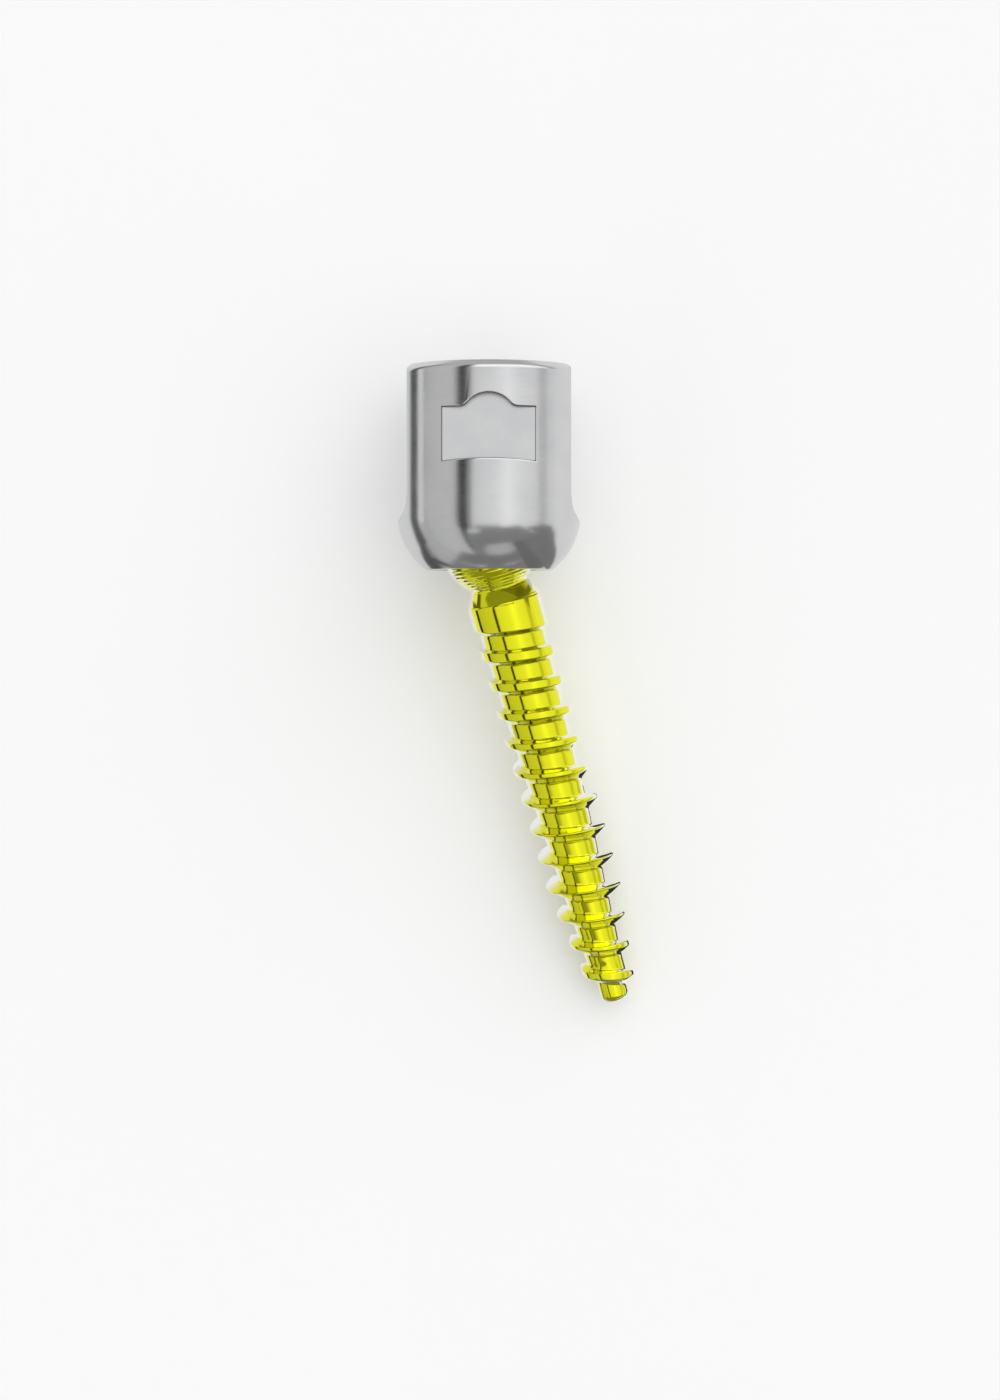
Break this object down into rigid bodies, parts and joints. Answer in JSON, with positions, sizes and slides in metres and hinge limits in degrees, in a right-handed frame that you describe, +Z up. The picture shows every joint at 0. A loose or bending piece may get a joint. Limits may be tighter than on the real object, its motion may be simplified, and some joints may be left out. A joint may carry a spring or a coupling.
{
  "type": "pedicle screw",
  "caption": "Polyaxial bone screw: a slotted titanium receiver for a spinal rod, swivelling on the ribbed ball head of a tapered, coarse-threaded yellow anodised screw.",
  "frame": {"origin": "centre of the bounding box's underside, on the surface that the screw lies on", "axes": "+Y along the receiver's axis towards its open end, +Z up through the upper arm, X along the rod's direction; the screw leans towards +X and down"},
  "size_m": [0.019, 0.0514, 0.0146],
  "materials": {
    "receiver": "satin machined titanium alloy",
    "saddle": "polished titanium alloy",
    "ring": "plain titanium alloy",
    "screw": "glossy yellow anodised titanium alloy"
  },
  "bodies": {
    "receiver": {"tulip": "receiver", "pressure_saddle": "saddle"},
    "ring": {"retaining_ring": "ring"},
    "screw": {"bone_screw": "screw"}
  },
  "joints": [
    {"name": "swivel_direction", "type": "hinge", "parent": "receiver", "child": "ring", "pos_m": [-0.00228, 0.01114, 0.0073], "axis": [0, 1, 0], "continuous": true},
    {"name": "swivel_tilt", "type": "hinge", "parent": "ring", "child": "screw", "pos_m": [-0.00228, 0.01114, 0.0073], "axis": [0.4789, 0, 0.8779], "range_deg": [-45.87, 10.13]}
  ]
}
